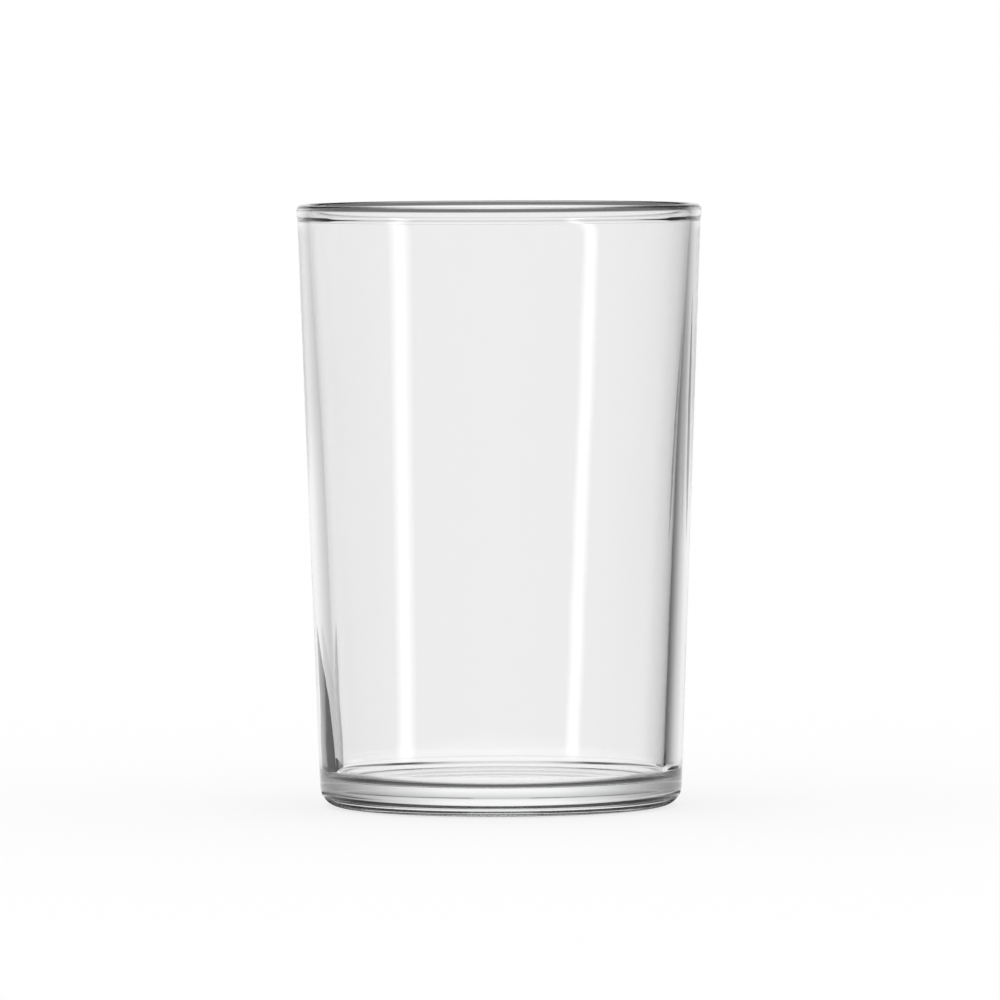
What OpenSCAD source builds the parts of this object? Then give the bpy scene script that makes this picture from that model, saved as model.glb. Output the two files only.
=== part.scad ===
// Straight-sided seltzer tumbler, moulded in one piece of clear glass: a tapered wall that thins
// towards a fire-polished rim bead, on a thick base with a rounded heel and a hollow underside.
// +Z is up, the origin is the middle of the plane it stands on, and all lengths are in millimetres.

/* [Overall] */
// Height from the table to the top of the rim
height = 89.5; // [70:0.5:120]
// Diameter over the rim bead
rim_d = 60.3; // [54:0.1:80]
// Diameter of the outer wall, carried straight down to the table
base_d = 53.7; // [40:0.1:59]

/* [Wall] */
// Glass thickness just under the rim bead
wall_rim = 1.5; // [1:0.05:3]
// Glass thickness where the wall begins to thin towards the rim
wall_mid = 2.45; // [1.5:0.05:4]
// Glass thickness where the wall meets the floor
wall_floor = 2.8; // [1.8:0.05:5]
// Height at which the wall begins to thin towards the rim
thin_from = 52; // [30:1:62]

/* [Rim] */
// How far the bead stands out past the outer wall
bead_out = 0.15; // [0.05:0.05:0.5]
// How far the bead stands out past the inner wall
bead_in = 0.2; // [0.05:0.05:0.5]
// How much taller the bead is than it is thick
bead_tall = 0.6; // [0.1:0.1:2]
// Radius of the hollow where the bead runs into the wall
bead_blend = 1; // [0.4:0.1:3]

/* [Base] */
// Thickness of the floor
floor_t = 4.2; // [3:0.1:15]
// Radius of the inside corner between floor and wall
floor_fillet = 1.6; // [0.5:0.1:8]
// Radius of the heel
heel_r = 3; // [0.5:0.1:6]
// Width of the flat ring that the glass stands on
ring_w = 3.5; // [1:0.1:8]
// Height of the hollow inside that ring
push_up = 0.8; // [0.3:0.1:2]

/* [Hidden] */
$fa = 1;
$fs = 0.2;
// Arcs run this far past tangency, so that each crosses its neighbours at a clear point
overrun = 0.001;
// The bead is as thick as the wall and what stands out on its two sides
bead_r = (wall_rim + bead_out + bead_in) / 2;
// Middles of the bead's two round ends
bead_c = [rim_d / 2 - bead_r, height - bead_r - bead_tall];
bead_top = bead_c + [0, bead_tall];
// Outer face of the wall, from the table to the middle of the bead's lower end
outer_low = [base_d / 2, 0];
outer_high = [rim_d / 2 - bead_out, bead_c.y];
// Inner face of the wall, from the floor to the middle of the bead's lower end
inner_low = inside(floor_t, wall_floor);
inner_mid = inside(thin_from, wall_mid);
inner_high = inside(bead_c.y, wall_rim);
floor_middle = [0, floor_t];

// Point on the inner face at height z, where the wall is t thick
function inside(z, t) = [outer_low.x + (outer_high.x - outer_low.x) * z / outer_high.y - t, z];
function unit(v) = v / norm(v);
// Distance from a corner to where a fillet of radius r leaves its sides
function fillet_reach(a, b, c, r) = r / tan(acos(unit(a - b) * unit(c - b)) / 2);

// Sharp tip outside a fillet of radius r at the corner b of the outline a-b-c
// It is carried on past the outline, so that no edge lies along an edge it cuts
module corner_tip(a, b, c, r) {
    to_a = unit(a - b);
    to_c = unit(c - b);
    reach = fillet_reach(a, b, c, r);
    centre = b + unit(to_a + to_c) * norm([r, reach]);
    tip = [b + to_a * reach, b, b + to_c * reach];
    translate(centre)
    difference() {
        polygon([[0, 0], for (p = tip) 2 * (p - centre)]);
        circle(r + overrun);
    }
}

// Bead: two round ends and a straight piece between them, whose corners lie just inside the ends
module bead() {
    half_w = bead_r - overrun;
    lap = 20 * overrun;
    translate(bead_c) circle(bead_r);
    translate(bead_top) circle(bead_r);
    translate(bead_c + [-half_w, lap]) square([2 * half_w, bead_tall - 2 * lap]);
}

// Web that fills the hollow between the bead and one face of the wall
// out is 1 on the outer face and -1 on the inner one
module bead_web(low, high, out) {
    down = unit(low - high);
    normal = out * [-down.y, down.x];
    depth = (high - bead_c) * normal;
    drop = sqrt((bead_r + bead_blend) ^ 2 - (depth + bead_blend) ^ 2);
    in_wall = bead_c + down * drop;
    centre = in_wall + normal * (depth + bead_blend);
    // Both webs run anticlockwise, so that they join the wall as one outline
    difference() {
        polygon(out > 0 ? [bead_c, in_wall, centre] : [bead_c, centre, in_wall]);
        translate(centre) circle(bead_blend + overrun);
    }
}

// Solid outline of the wall and base, with the heel rounded
module blank() {
    difference() {
        polygon([[0, 0], outer_low, outer_high, [0, outer_high.y]]);
        corner_tip(outer_high, outer_low, [0, 0], heel_r);
    }
}

// Outline of the drinking space, with its floor corner rounded
module cavity() {
    difference() {
        polygon([floor_middle, inner_low, inner_mid, inner_high, [inner_high.x, height], [0, height]]);
        corner_tip(inner_mid, inner_low, floor_middle, floor_fillet);
    }
}

// Shallow dome under the base, which leaves the flat ring to stand on
module underside() {
    half_w = outer_low.x - fillet_reach(outer_high, outer_low, [0, 0], heel_r) - ring_w;
    dome_r = (half_w ^ 2 + push_up ^ 2) / (2 * push_up);
    translate([0, push_up - dome_r]) circle(dome_r);
}

module tumbler() {
    color([0.93, 0.95, 0.95, 0.35])
    rotate_extrude() {
        difference() {
            blank();
            cavity();
            underside();
        }
        bead();
        bead_web(outer_low, outer_high, 1);
        bead_web(inner_mid, inner_high, -1);
    }
}

tumbler();
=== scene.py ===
import math

import bmesh
import bpy
from mathutils import Matrix, Vector


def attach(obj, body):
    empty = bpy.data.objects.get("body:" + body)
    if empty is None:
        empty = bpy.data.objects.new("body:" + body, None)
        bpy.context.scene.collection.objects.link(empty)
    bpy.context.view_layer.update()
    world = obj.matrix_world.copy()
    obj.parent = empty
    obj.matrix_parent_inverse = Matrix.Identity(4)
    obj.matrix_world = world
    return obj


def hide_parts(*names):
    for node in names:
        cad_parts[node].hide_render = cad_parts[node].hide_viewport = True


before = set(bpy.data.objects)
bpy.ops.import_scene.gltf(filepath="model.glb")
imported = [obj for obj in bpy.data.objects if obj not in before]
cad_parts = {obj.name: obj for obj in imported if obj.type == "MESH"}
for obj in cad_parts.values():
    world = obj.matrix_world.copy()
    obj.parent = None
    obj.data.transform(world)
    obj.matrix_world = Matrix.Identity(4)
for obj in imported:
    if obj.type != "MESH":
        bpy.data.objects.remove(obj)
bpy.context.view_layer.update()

# Tumbler
# One pressed piece of clear soda-lime glass: a tapered wall that thins towards the rim, a bead where
# a flame melted the edge round, and a thick floor with a shallow hollow under it.
mm = 0.001
height = 89.5 * mm
rim_radius = 30.15 * mm
base_radius = 26.85 * mm
wall_at_rim = 1.5 * mm
wall_at_thinning = 2.45 * mm
wall_at_floor = 2.8 * mm
thinning_height = 52 * mm
thinning_bend = 900 * mm
bead_outside = 0.15 * mm
bead_inside = 0.2 * mm
bead_taller = 0.6 * mm
bead_hollow = 2.2 * mm
floor_thickness = 4.2 * mm
floor_fillet = 1.6 * mm
heel_radius = 3 * mm
bearing_width = 3.5 * mm
bearing_edge = 1.2 * mm
push_up = 0.8 * mm
ripple_deep = 0.04 * mm
ripple_long = 18 * mm
# How finely the section and the turn are cut
longest_step = 1.5 * mm
corner_steps = 24
thinning_steps = 16
bead_steps = 32
hollow_steps = 8
edge_steps = 4
facets = 320

bead_radius = (wall_at_rim + bead_outside + bead_inside) / 2
bead_top = Vector((rim_radius - bead_radius, height - bead_radius))
bead_middle = bead_top - Vector((0, bead_taller))
outer_low = Vector((base_radius, 0))
outer_high = Vector((rim_radius - bead_outside, bead_middle.y))


def inside(level, thickness):
    """Point on the inner face at that level, where the wall is that thick."""
    outer = outer_low.x + (outer_high.x - outer_low.x) * level / outer_high.y
    return Vector((outer - thickness, level))


inner_low = inside(floor_thickness, wall_at_floor)
inner_bend = inside(thinning_height, wall_at_thinning)
inner_high = inside(bead_middle.y, wall_at_rim)
floor_middle = Vector((0, floor_thickness))
base_middle = Vector((0, 0))


def arc(centre, start, end, steps):
    """Points round centre from start to end."""
    first = start - centre
    last = end - centre
    turn = math.atan2(first.x * last.y - first.y * last.x, first.dot(last))
    return [centre + Matrix.Rotation(turn * i / steps, 2) @ first for i in range(steps + 1)]


def rounded(before, corner, after, radius, steps):
    """Arc of that radius in place of a sharp corner."""
    to_before = (before - corner).normalized()
    to_after = (after - corner).normalized()
    half = to_before.angle(to_after) / 2
    centre = corner + (to_before + to_after).normalized() * radius / math.sin(half)
    reach = radius / math.tan(half)
    return arc(centre, corner + to_before * reach, corner + to_after * reach, steps)


def hollow(low, high, out):
    """Arc of the hollow between one face of the wall and the bead, from the wall up."""
    down = (low - high).normalized()
    normal = out * Vector((-down.y, down.x))
    depth = (high - bead_middle).dot(normal) + bead_hollow
    span = bead_radius + bead_hollow
    centre = bead_middle + down * math.sqrt(span**2 - depth**2) + normal * depth
    on_bead = bead_middle + (centre - bead_middle) * bead_radius / span
    return arc(centre, centre - normal * bead_hollow, on_bead, hollow_steps)


inner_hollow = hollow(inner_bend, inner_high, -1)
outer_hollow = hollow(outer_low, outer_high, 1)[::-1]
heel = rounded(outer_high, outer_low, base_middle, heel_radius, corner_steps)
bearing_inner = Vector((heel[-1].x - bearing_width, 0))
dome_radius = (bearing_inner.x**2 + push_up**2) / (2 * push_up)
dome_lean = math.asin(bearing_inner.x / dome_radius)
dome_start = bearing_inner + Vector((-math.cos(dome_lean), math.sin(dome_lean)))
dome_leans = [dome_lean * share for share in (0.9, 0.75, 0.6, 0.45, 0.3, 0.15, 0)]
dome_centre = Vector((0, push_up - dome_radius))
dome = [dome_centre + dome_radius * Vector((math.sin(lean), math.cos(lean))) for lean in dome_leans]
bead_left = Vector((-bead_radius, 0))
bead_right = Vector((bead_radius, 0))
bead_turns = [Matrix.Rotation(-math.pi * i / bead_steps, 2) for i in range(bead_steps + 1)]
bead_edge = arc(bead_middle, inner_hollow[-1], bead_middle + bead_left, hollow_steps)[1:]
bead_edge += [bead_top + turn @ bead_left for turn in bead_turns]
bead_edge += arc(bead_middle, bead_middle + bead_right, outer_hollow[0], hollow_steps)[:-1]
# The section runs from the middle of the floor up the inside, over the bead and down to the base's middle
runs = [
    [floor_middle],
    rounded(floor_middle, inner_low, inner_bend, floor_fillet, corner_steps),
    rounded(inner_low, inner_bend, inner_high, thinning_bend, thinning_steps),
    inner_hollow,
    bead_edge,
    outer_hollow,
    heel,
    rounded(heel[-1], bearing_inner, dome_start, bearing_edge, edge_steps),
    dome,
]
section = []
for point in (p for run in runs for p in run):
    if section:
        last = section[-1]
        pieces = math.ceil((point - last).length / longest_step)
        section += [last.lerp(point, i / pieces) for i in range(1, pieces)]
    section.append(point)
outline = bpy.data.meshes.new("tumbler_section")
outline.from_pydata([(p.x, 0, p.y) for p in section], [(i, i + 1) for i in range(len(section) - 1)], [])


def put(name, data):
    """A new object in the scene."""
    made = bpy.data.objects.new(name, data)
    bpy.context.scene.collection.objects.link(made)
    return made


tumbler = put("tumbler_glass", outline)


class Wire:
    """An output of a node. Arithmetic on it adds Math nodes to its tree."""

    def __init__(self, tree, socket=None):
        self.tree = tree
        self.socket = socket

    def node(self, kind, settings, inputs, output=0):
        """A new node's output, with its settings made first and then its inputs set or linked."""
        made = self.tree.nodes.new(kind)
        for name, value in settings.items():
            if name == "stops":
                marks = made.color_ramp.elements
                marks[0].position = value[0][0]
                marks[-1].position = value[-1][0]
                for place, tone in value[1:-1]:
                    marks.new(place)
                for mark, (place, tone) in zip(marks, value):
                    mark.color = (tone, tone, tone, 1)
            else:
                setattr(made, name, value)
        for key, value in inputs.items():
            if isinstance(value, Wire):
                self.tree.links.new(value.socket, made.inputs[key])
            else:
                made.inputs[key].default_value = value
        return Wire(self.tree, made.outputs[output] if made.outputs else None)

    def maths(self, operation, first, second):
        return self.node("ShaderNodeMath", {"operation": operation}, {0: first, 1: second})

    def __add__(self, other):
        return self.maths("ADD", self, other)

    def __sub__(self, other):
        return self.maths("SUBTRACT", self, other)

    def __rsub__(self, other):
        return self.maths("SUBTRACT", other, self)

    def __mul__(self, other):
        return self.maths("MULTIPLY", self, other)

    def __truediv__(self, other):
        return self.maths("DIVIDE", self, other)

    def __rtruediv__(self, other):
        return self.maths("DIVIDE", other, self)

    __radd__ = __add__
    __rmul__ = __mul__


# The lathe turns the section about Z, as the plunger and mould do, with a slight ripple on both faces
lathe = bpy.data.node_groups.new("glass_lathe", "GeometryNodeTree")
lathe.interface.new_socket("Section", in_out="INPUT", socket_type="NodeSocketGeometry")
lathe_inputs = {
    name: lathe.interface.new_socket(name, in_out="INPUT", socket_type=kind).identifier
    for name, kind in (
        ("Faces round", "NodeSocketInt"),
        ("Ripple depth", "NodeSocketFloat"),
        ("Ripple length", "NodeSocketFloat"),
        ("Glass", "NodeSocketMaterial"),
    )
}
lathe.interface.new_socket("Glass body", in_out="OUTPUT", socket_type="NodeSocketGeometry")
entry = lathe.nodes.new("NodeGroupInput")
drawn, faces_round, ripple_depth, ripple_length, glass_input = (Wire(lathe, s) for s in entry.outputs[:5])
count = drawn.node("GeometryNodeAttributeDomainSize", {"component": "MESH"}, {"Geometry": drawn})
grid = drawn.node("GeometryNodeMeshGrid", {}, {"Vertices X": count, "Vertices Y": faces_round + 1})
index = drawn.node("GeometryNodeInputIndex", {}, {})
row = drawn.maths("FLOOR", index / (faces_round + 1), 0)
position = drawn.node("GeometryNodeInputPosition", {}, {})
on_section = drawn.node(
    "GeometryNodeSampleIndex",
    {"data_type": "FLOAT_VECTOR", "domain": "POINT"},
    {"Geometry": drawn, "Value": position, "Index": row},
)
angle = (index - row * (faces_round + 1)) / faces_round * (2 * math.pi)
turned = drawn.node(
    "ShaderNodeVectorRotate", {"rotation_type": "Z_AXIS"}, {"Vector": on_section, "Angle": angle}
)
ripple = drawn.node(
    "ShaderNodeTexNoise",
    {"noise_dimensions": "3D"},
    {"Vector": turned, "Scale": 1 / ripple_length, "Detail": 1.0, "Roughness": 0.4},
)
outward = drawn.node("ShaderNodeVectorMath", {"operation": "MULTIPLY"}, {0: turned, 1: (1, 1, 0)})
lift = (ripple - 0.5) * ripple_depth / rim_radius
shift = drawn.node("ShaderNodeVectorMath", {"operation": "SCALE"}, {0: outward, "Scale": lift})
body = drawn.node(
    "GeometryNodeSetPosition", {}, {"Geometry": grid, "Position": turned, "Offset": shift}
)
body = drawn.node("GeometryNodeMergeByDistance", {}, {"Geometry": body, "Distance": 0.001 * mm})
body = drawn.node("GeometryNodeSetShadeSmooth", {}, {"Geometry": body, "Shade Smooth": True})
body = drawn.node("GeometryNodeRealizeInstances", {}, {"Geometry": body})
body = drawn.node("GeometryNodeSetMaterial", {}, {"Geometry": body, "Material": glass_input})
drawn.node("NodeGroupOutput", {}, {0: body})


def bare_material(name):
    """A new material that has no nodes yet, and a wire to make them with."""
    made = bpy.data.materials.new(name)
    made.use_nodes = True
    made.node_tree.nodes.clear()
    return made, Wire(made.node_tree)


def band(value, low, high, soft):
    """1 from low to high, falling to 0 over soft."""
    rising = (value - low) / soft + 0.5
    falling = (high - value) / soft + 0.5
    both = value.maths("MINIMUM", rising, falling)
    return value.maths("MAXIMUM", value.maths("MINIMUM", both, 1), 0)


# Clear glass with a faint orange peel from the mould, soft handling marks, and a ring scuffed by tables
peel_size = 2.5 * mm
peel_depth = 0.0015 * mm
smear_size = 22 * mm
smear_dulls = 0.05
scratch_size = 0.4 * mm
scuff_height = 0.25 * mm
scuff_dulls = 0.6
glass, melt = bare_material("clear_pressed_glass")
on_glass = melt.node("ShaderNodeTexCoord", {}, {}, "Object")
peel, smear, scratch = (
    melt.node("ShaderNodeTexNoise", {}, {"Vector": on_glass, "Scale": 1 / size, "Detail": detail})
    for size, detail in ((peel_size, 1.0), (smear_size, 4.0), (scratch_size, 2.0))
)
skin = melt.node("ShaderNodeBump", {}, {"Distance": peel_depth, "Height": peel})
above_table = melt.node("ShaderNodeSeparateXYZ", {}, {0: on_glass}, "Z")
scuff = band(above_table, -scuff_height, scuff_height, scuff_height / 2) * scratch
shell = melt.node(
    "ShaderNodeBsdfPrincipled",
    {},
    {
        "Base Color": (1, 1, 1, 1),
        "Roughness": smear * smear_dulls + scuff * scuff_dulls,
        "IOR": 1.52,
        "Transmission Weight": 1.0,
        "Normal": skin,
    },
)
tint = melt.node("ShaderNodeVolumeAbsorption", {}, {"Color": (0.965, 0.972, 0.97, 1), "Density": 20.0})
melt.node("ShaderNodeOutputMaterial", {}, {"Surface": shell, "Volume": tint})

turning = tumbler.modifiers.new("lathe", "NODES")
turning.node_group = lathe
turning[lathe_inputs["Faces round"]] = facets
turning[lathe_inputs["Ripple depth"]] = ripple_deep
turning[lathe_inputs["Ripple length"]] = ripple_long
turning[lathe_inputs["Glass"]] = glass
turned_glass = bpy.data.meshes.new_from_object(
    tumbler.evaluated_get(bpy.context.evaluated_depsgraph_get())
)
tumbler.modifiers.clear()
tumbler.data = turned_glass
turned_glass.name = "tumbler_glass"
turned_glass.materials.clear()
turned_glass.materials.append(glass)
solid = bmesh.new()
solid.from_mesh(turned_glass)
bmesh.ops.recalc_face_normals(solid, faces=solid.faces)
solid.to_mesh(turned_glass)
solid.free()
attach(tumbler, "root")
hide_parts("tumbler")

# Table
# A plain white sheet that runs on out of the picture. It keeps the soft shadow of the glass.
# The glass itself sees a light tent instead and, close to its base, a patch that glows white in place of
# the lit sheet, with painted shade on it.
table_half = 3.0
table_drop = 0.1 * mm
# Share of the sheet's white that the lens sees whatever the light
paper_glow = 0.75
table_mesh = bpy.data.meshes.new("white_table")
table_mesh.from_pydata(
    [(x * table_half, y * table_half, -table_drop) for x, y in ((-1, -1), (1, -1), (1, 1), (-1, 1))],
    [],
    [(0, 1, 2, 3)],
)
table = put("white_table", table_mesh)
paper, sheet = bare_material("white_paper")
matt = sheet.node(
    "ShaderNodeBsdfPrincipled",
    {},
    {"Base Color": (0.99, 0.99, 0.99, 1), "Roughness": 1.0, "Specular IOR Level": 0.0},
)
white = sheet.node("ShaderNodeEmission", {}, {"Strength": 1.0})
lens = sheet.node("ShaderNodeLightPath", {}, {}, "Is Camera Ray")
mixed = sheet.node("ShaderNodeMixShader", {}, {0: lens * paper_glow, 1: matt, 2: white})
sheet.node("ShaderNodeOutputMaterial", {}, {"Surface": mixed})
table_mesh.materials.append(paper)
table.visible_glossy = False
table.visible_transmission = False


def seen_by_glass(name, shape, finish):
    """A stage object that only the glass sees, through itself or in its gloss."""
    made = put(name, shape)
    shape.materials.append(finish)
    made.visible_camera = False
    made.visible_diffuse = False
    made.visible_shadow = False
    return made


def ramp(value, tones, span):
    """Brightness that runs through the tones, which are given at places between -span and span."""
    stops = [(at / span / 2 + 0.5, tone) for at, tone in tones]
    return value.node("ShaderNodeValToRGB", {"stops": stops}, {0: value / (2 * span) + 0.5})


# The lit patch glows white, with painted shade round the near side of the base and a painted arc of shade
# behind it
patch_radius = 84 * mm
patch_forward = 20 * mm
# Millimetres from the axis, and how bright the painted shade leaves the near side there
ring_tones = [
    (0, 1), (18.5, 1), (20, 0.25), (22, 0.13), (23.8, 0.12), (24.5, 0.05), (26.6, 0.05), (27.6, 0.85),
    (30, 0.95),
]
side_shade = 0.8
# Millimetres to either side, and how deep the painted shade behind is there
arc_tones = [
    (0, 0.24), (5, 0.26), (8, 0.36), (11.5, 0.65), (14.5, 1), (17.5, 1), (20, 0.76), (90, 0.76),
]
patch_mesh = bpy.data.meshes.new("lit_patch")
patch_shape = bmesh.new()
bmesh.ops.create_circle(patch_shape, cap_ends=True, segments=96, radius=patch_radius)
bmesh.ops.translate(patch_shape, verts=patch_shape.verts, vec=(0, -patch_forward, -table_drop))
patch_shape.to_mesh(patch_mesh)
patch_shape.free()
patch_paper, lit = bare_material("lit_paper")
on_paper = lit.node("ShaderNodeTexCoord", {}, {}, "Object")
from_axis = lit.node("ShaderNodeVectorMath", {"operation": "LENGTH"}, {0: on_paper}, "Value") / mm
to_side = lit.maths("ABSOLUTE", lit.node("ShaderNodeSeparateXYZ", {}, {0: on_paper}), 0) / mm
near = band(lit.node("ShaderNodeSeparateXYZ", {}, {0: on_paper}, "Y") / mm, -200, 8, 8)
# Painted shade: an arc behind the base, and a ring round its near side that is darker again in arcs to
# either side
far_shade_arc = band(from_axis, 30.5, 35, 1) * ramp(to_side, arc_tones, 100)
side_shade_arc = band(from_axis, 20, 28.5, 1) * band(to_side, 20, 90, 4)
near_ring_shade = 1 - ramp(from_axis, ring_tones, 100) * (1 - side_shade_arc * side_shade)
whiteness = (1 - near_ring_shade * near) * (1 - far_shade_arc)
shine = lit.node("ShaderNodeEmission", {}, {"Color": whiteness})
clear = lit.node("ShaderNodeBsdfTransparent", {}, {})
centred = lit.node("ShaderNodeVectorMath", {"operation": "ADD"}, {0: on_paper, 1: (0, patch_forward, 0)})
from_middle = lit.node("ShaderNodeVectorMath", {"operation": "LENGTH"}, {0: centred}, "Value")
within = band(from_middle / patch_radius, -1, 0.92, 0.16)
faded = lit.node("ShaderNodeMixShader", {}, {0: within, 1: clear, 2: shine})
lit.node("ShaderNodeOutputMaterial", {}, {"Surface": faded})
patch_paper.cycles.emission_sampling = "NONE"
patch = seen_by_glass("lit_patch", patch_mesh, patch_paper)

# Camera
# A long lens, 1.6 m away and a little above the rim, so that the glass shows hardly any perspective.
# It is turned a fifth of a degree about its own axis.
distance = 1.6
rise = math.radians(2.624)
roll = math.radians(0.2)
pixels_per_metre = 6719.7
picture_width = 1000
aim = Vector((0, 0, 45.44 * mm))
camera_data = bpy.data.cameras.new("long_lens")
camera_data.sensor_width = 36
camera_data.lens = pixels_per_metre * distance * camera_data.sensor_width / picture_width
camera_data.clip_end = 100
camera = put("camera", camera_data)
back = Vector((0, -math.cos(rise), math.sin(rise)))
facing = (-back).to_track_quat("-Z", "Y").to_matrix().to_4x4() @ Matrix.Rotation(-roll, 4, "Z")
camera.matrix_world = Matrix.Translation(aim + back * distance) @ facing
bpy.context.scene.camera = camera

# Light
# An even white surround lights the table. The glass sees a light tent instead: a white panel behind it,
# two strip lights beside the lens, small black flags, and dark cloth elsewhere, which draws its edges dark.
sky = bpy.data.worlds.new("white_surround")
bpy.context.scene.world = sky
sky.use_nodes = True
sky.node_tree.nodes["Background"].inputs["Color"].default_value = (1, 1, 1, 1)
sky.node_tree.nodes["Background"].inputs["Strength"].default_value = 1
tent_radius = 30.0
tent_mesh = bpy.data.meshes.new("light_tent")
tent_shape = bmesh.new()
bmesh.ops.create_icosphere(tent_shape, subdivisions=4, radius=tent_radius)
tent_shape.to_mesh(tent_mesh)
tent_shape.free()
cloth, tent = bare_material("tent_cloth")
on_tent = tent.node("ShaderNodeTexCoord", {}, {}, "Object")
toward = tent.node("ShaderNodeVectorMath", {"operation": "NORMALIZE"}, {0: on_tent})
to_right, to_back, upward = (tent.node("ShaderNodeSeparateXYZ", {}, {0: toward}, axis) for axis in "XYZ")
degree = 180 / math.pi
# Degrees to the right of straight behind the glass, and degrees above the horizon
aside = tent.maths("ARCTAN2", to_right, to_back) * degree
above = tent.maths("ARCSINE", upward, 0) * degree
width = tent.maths("ABSOLUTE", aside, 0)

# Brightness of the panel by degrees: aside below the horizon, to either side above it, and by height.
# Its upper corners are dark, and reach lower at the sides.
low_tones = [
    (-95, 0.05), (-80, 0.3), (-62, 0.68), (-46, 0.68), (-39, 0.53), (-34, 0.62), (-30, 0.72), (-22, 0.85),
    (-12, 1), (10, 1), (15, 0.92), (20, 0.78), (25, 0.68), (28, 0.6), (31, 0.47), (34, 0.32), (37, 0.2),
    (40, 0.1), (44, 0.04),
]
level_tones = [
    (0, 1), (12, 0.97), (24, 0.75), (34, 0.53), (45, 0.36), (60, 0.17), (80, 0.06), (95, 0.03),
]
height_tones = [
    (-44, 0.5), (-39, 0.16), (-15.5, 0.16), (-12, 0.4), (-9, 0.75), (-6.5, 1), (6, 1), (14, 0.8),
    (20, 0.65), (28, 0.35), (36, 0.03),
]
cloth_tone = 0.04
corner_shade = 0.9
top_tone = 0.18
low = ramp(aside, low_tones, 180)
level = ramp(width, level_tones, 180)
across = low + (level - low) * band(above, -1.5, 90, 2)
sides_lower = band(width, 28, 200, 8) * 1.9
high_corners = band(above + sides_lower, 19.5, 100, 2) * band(width, 7, 200, 2)
panel = across * ramp(above, height_tones, 90) * (1 - high_corners * corner_shade)
panel = panel * (1 - cloth_tone) + cloth_tone
top = band(above, 53, 100, 6) * top_tone

# Strip lights: degrees aside, half their width, how soft their edges are, and how far they lean
strip_lights = ((-121, 5, 6, 1.13), (126, 3.75, 4, 2.8))
strip_strength = 4
leans_from = -4.85
leans_to = -7.8
sunk = tent.maths("MINIMUM", tent.maths("MAXIMUM", above, leans_to), leans_from) - leans_from
strips = sum(
    band(aside - middle + sunk * lean, -half, half, soft) for middle, half, soft, lean in strip_lights
)
gloss = tent.node("ShaderNodeLightPath", {}, {}, "Is Reflection Ray")
strips = strips * band(above, -60, -3.5, 0.15) * gloss
radiance = tent.maths("MAXIMUM", panel, top) + strips * strip_strength
glow = tent.node("ShaderNodeEmission", {}, {"Color": radiance})
tent.node("ShaderNodeOutputMaterial", {}, {"Surface": glow})
cloth.cycles.emission_sampling = "NONE"
tent_shell = seen_by_glass("light_tent", tent_mesh, cloth)

# Flags of black felt stand in two planes behind the axis. Their corners are millimetres to the right and
# up. The near ones make a wedge low on the left, a dash high on the right and dark ends under the rim. The
# far ones darken the ends of the floor, and sink behind the lit patch when the lens rises.
near_depth = 8
far_depth = 20
wedge_flag = (
    (-28.3, 0), (-28.3, 9), (-29.3, 15), (-29.4, 26.4), (-32, 20.6), (-35.8, 14.2), (-38, 8), (-39.5, 0),
)
dash_flag = ((30.3, 38), (32.2, 48), (33.6, 62), (34.2, 76), (32.3, 65), (30.7, 50))
rim_flag = ((27, 91.5), (56, 91.5), (56, 108), (27, 108))
rim_twin = tuple((-x, z) for x, z in rim_flag)
floor_flag = ((31, 0), (31, 3.3), (35.7, 2.8), (39.6, 2.3), (43.2, 1.6), (45.8, 0.8), (45.8, 0))
right_corner = (
    (49.2, 1.8), (51.6, 1), (55.4, 0.3), (61, 0), (61, 0.4), (57, 1.8), (53.8, 3), (50.5, 4.3),
)
left_corner = ((-49, 0), (-49, 3.6), (-52.3, 3), (-57, 2), (-60.3, 0.8), (-60.3, 0))
felt, pile = bare_material("black_felt")
black = pile.node(
    "ShaderNodeBsdfPrincipled", {}, {"Base Color": (0.01, 0.01, 0.01, 1), "Specular IOR Level": 0.0}
)
pile.node("ShaderNodeOutputMaterial", {}, {"Surface": black})
flag_points = []
flag_faces = []
for depth, group in (
    (near_depth, (wedge_flag, dash_flag, rim_flag, rim_twin)),
    (far_depth, (floor_flag, right_corner, left_corner)),
):
    for flag in group:
        flag_faces.append(range(len(flag_points), len(flag_points) + len(flag)))
        flag_points += [Vector((x, depth, z)) * mm for x, z in flag]
flag_mesh = bpy.data.meshes.new("black_flags")
flag_mesh.from_pydata(flag_points, [], flag_faces)
flags = seen_by_glass("black_flags", flag_mesh, felt)
flags.visible_glossy = False

# Tent, flags and patch turn with the lens, as if the glass stood on a turntable before a fixed set
for item, tilts in ((tent_shell, True), (flags, True), (patch, False)):
    turntable = item.constraints.new("CHILD_OF")
    turntable.target = camera
    turntable.use_location_x = turntable.use_location_y = turntable.use_location_z = False
    turntable.use_scale_x = turntable.use_scale_y = turntable.use_scale_z = False
    turntable.use_rotation_x = turntable.use_rotation_y = tilts
    turntable.inverse_matrix = facing.inverted() if tilts else Matrix.Identity(4)
bpy.context.scene.view_settings.view_transform = "Standard"
bpy.context.scene.cycles.glossy_bounces = 12
bpy.context.scene.cycles.transmission_bounces = 24
bpy.context.scene.cycles.max_bounces = 24
